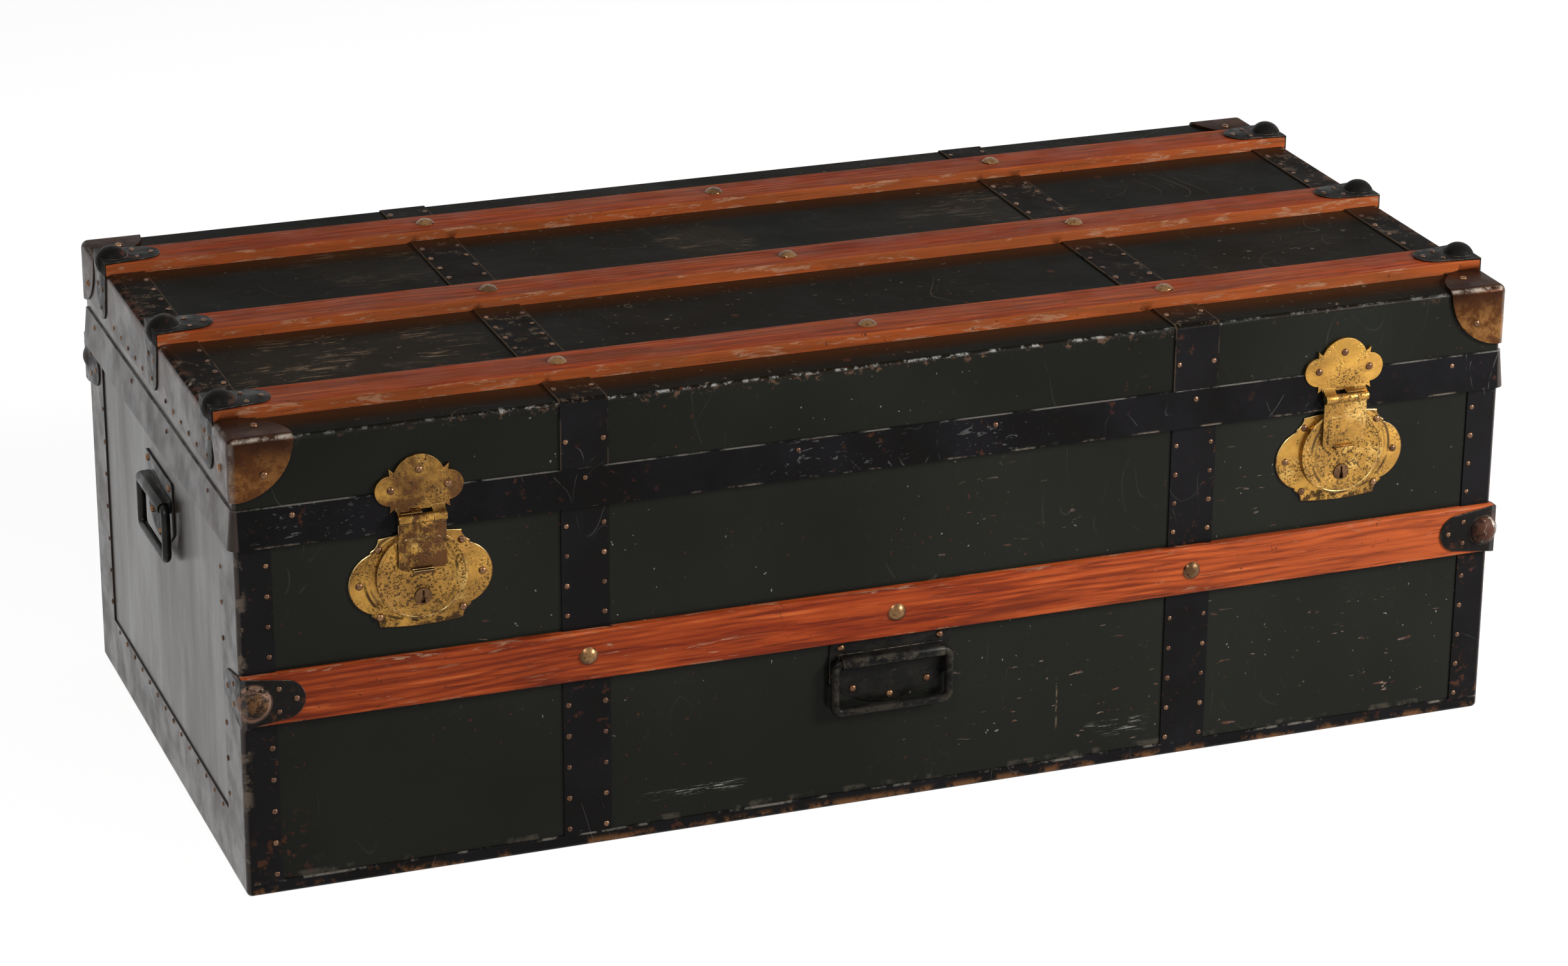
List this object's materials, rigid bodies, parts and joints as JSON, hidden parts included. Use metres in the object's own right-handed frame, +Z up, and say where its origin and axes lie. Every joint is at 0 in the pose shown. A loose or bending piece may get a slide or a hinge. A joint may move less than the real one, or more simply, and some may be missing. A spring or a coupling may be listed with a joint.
{
  "type": "cabin trunk",
  "caption": "Long, low cabin trunk: sheet-clad boards, hinged flat lid with stays, wooden slats with iron clamps, brass hasp locks, capped lid corners and bail handles.",
  "frame": {"origin": "middle of the base, on the surface that the trunk stands on", "axes": "+X along the length to the right as seen from the locks, +Y to the back where the hinges are, +Z up"},
  "size_m": [1.0208, 0.5, 0.37],
  "materials": {
    "pine_board": "raw planed pine",
    "painted_sheet": "aged near-black green paint, scratched",
    "band_steel": "aged blue-black enamel, worn at the edges",
    "slat_wood": "varnished orange-brown softwood, worn",
    "clamp_iron": "blackened pressed iron, rust on the domes",
    "tack_copper": "dull coppered heads",
    "rivet_metal": "tarnished domed heads",
    "lock_brass": "lacquered brass with brown speckles",
    "cap_metal": "bronzed pressed steel, gold showing through",
    "handle_steel": "black lacquered steel",
    "bright_steel": "dull plain steel",
    "lining_paper": "plain aged lining paper"
  },
  "bodies": {
    "trunk_body": {"body_front_board": "pine_board", "body_rear_board": "pine_board", "body_left_board": "pine_board", "body_right_board": "pine_board", "body_bottom_board": "pine_board", "body_front_sheet": "painted_sheet", "body_rear_sheet": "painted_sheet", "body_end_sheets": "painted_sheet", "body_bottom_sheet": "painted_sheet", "body_cross_bands": "band_steel", "body_corner_bands": "band_steel", "body_bottom_bands": "band_steel", "body_front_slat": "slat_wood", "body_rear_slat": "slat_wood", "body_slat_clamps": "clamp_iron", "body_slat_rivets": "rivet_metal", "body_tacks": "tack_copper", "body_rivets": "tack_copper", "lock_plates": "lock_brass", "lock_covers": "lock_brass", "front_handle_plate": "handle_steel", "left_handle_plate": "handle_steel", "right_handle_plate": "handle_steel", "hinge_body_leaves": "band_steel", "hinge_pins": "bright_steel", "stay_studs": "bright_steel", "body_lining": "lining_paper"},
    "lid": {"lid_top_board": "pine_board", "lid_front_rim": "pine_board", "lid_rear_rim": "pine_board", "lid_left_rim": "pine_board", "lid_right_rim": "pine_board", "lid_top_sheet": "painted_sheet", "lid_rim_sheets": "painted_sheet", "lid_cross_bands": "band_steel", "lid_end_bands": "band_steel", "lid_valance": "band_steel", "lid_slats": "slat_wood", "lid_slat_clamps": "clamp_iron", "lid_slat_rivets": "rivet_metal", "lid_corner_caps": "cap_metal", "lid_tacks": "tack_copper", "lid_rivets": "tack_copper", "hasp_plates": "lock_brass", "hasp_pins": "bright_steel", "hinge_lid_leaves": "band_steel", "stay_pivots": "bright_steel", "lid_lining": "lining_paper"},
    "hasp_left": {"hasp_left": "lock_brass"},
    "hasp_right": {"hasp_right": "lock_brass"},
    "front_bail": {"front_handle_bail": "handle_steel"},
    "left_bail": {"left_handle_bail": "handle_steel"},
    "right_bail": {"right_handle_bail": "handle_steel"},
    "key_plug_left": {"key_plug_left": "bright_steel"},
    "key_plug_right": {"key_plug_right": "bright_steel"},
    "lock_bolt_left": {"lock_bolt_left": "bright_steel"},
    "lock_bolt_right": {"lock_bolt_right": "bright_steel"},
    "stay_arm_left": {"stay_arm_left": "bright_steel"},
    "stay_arm_right": {"stay_arm_right": "bright_steel"}
  },
  "joints": [
    {"name": "lid_hinge", "type": "hinge", "parent": "trunk_body", "child": "lid", "pos_m": [0, 0.2385, 0.282], "axis": [-1, 0, 0], "range_deg": [0, 95]},
    {"name": "hasp_left_swing", "type": "hinge", "parent": "lid", "child": "hasp_left", "pos_m": [-0.365, -0.2426, 0.2815], "axis": [-1, 0, 0], "range_deg": [0, 165]},
    {"name": "key_plug_left_turn", "type": "hinge", "parent": "trunk_body", "child": "key_plug_left", "pos_m": [-0.365, -0.238, 0.2202], "axis": [0, 1, 0], "range_deg": [0, 90]},
    {"name": "lock_bolt_left_slide", "type": "slide", "parent": "trunk_body", "child": "lock_bolt_left", "axis": [-1, 0, 0], "range_m": [0, 0.009]},
    {"name": "stay_arm_left_swing", "type": "hinge", "parent": "lid", "child": "stay_arm_left", "pos_m": [-0.4836, 0.08907, 0.29507], "axis": [-1, 0, 0], "range_deg": [-47.5, 0]},
    {"name": "hasp_right_swing", "type": "hinge", "parent": "lid", "child": "hasp_right", "pos_m": [0.365, -0.2426, 0.2815], "axis": [-1, 0, 0], "range_deg": [0, 165]},
    {"name": "key_plug_right_turn", "type": "hinge", "parent": "trunk_body", "child": "key_plug_right", "pos_m": [0.365, -0.238, 0.2202], "axis": [0, 1, 0], "range_deg": [0, 90]},
    {"name": "lock_bolt_right_slide", "type": "slide", "parent": "trunk_body", "child": "lock_bolt_right", "axis": [-1, 0, 0], "range_m": [0, 0.009]},
    {"name": "stay_arm_right_swing", "type": "hinge", "parent": "lid", "child": "stay_arm_right", "pos_m": [0.4836, 0.08907, 0.29507], "axis": [-1, 0, 0], "range_deg": [-47.5, 0]},
    {"name": "front_bail_swing", "type": "hinge", "parent": "trunk_body", "child": "front_bail", "pos_m": [-0.003, -0.2405, 0.12], "axis": [-1, 0, 0], "range_deg": [0, 100]},
    {"name": "left_bail_swing", "type": "hinge", "parent": "trunk_body", "child": "left_bail", "pos_m": [-0.5055, -0.002, 0.23], "axis": [0, 1, 0], "range_deg": [0, 100]},
    {"name": "right_bail_swing", "type": "hinge", "parent": "trunk_body", "child": "right_bail", "pos_m": [0.5055, -0.002, 0.23], "axis": [0, -1, 0], "range_deg": [0, 100]}
  ],
  "couplings": [
    {"joint": "lock_bolt_left_slide", "follows": "key_plug_left_turn", "m_per_rad": 0.0057296},
    {"joint": "stay_arm_left_swing", "follows": "lid_hinge", "ratio": -0.5},
    {"joint": "lock_bolt_right_slide", "follows": "key_plug_right_turn", "m_per_rad": 0.0057296},
    {"joint": "stay_arm_right_swing", "follows": "lid_hinge", "ratio": -0.5}
  ]
}
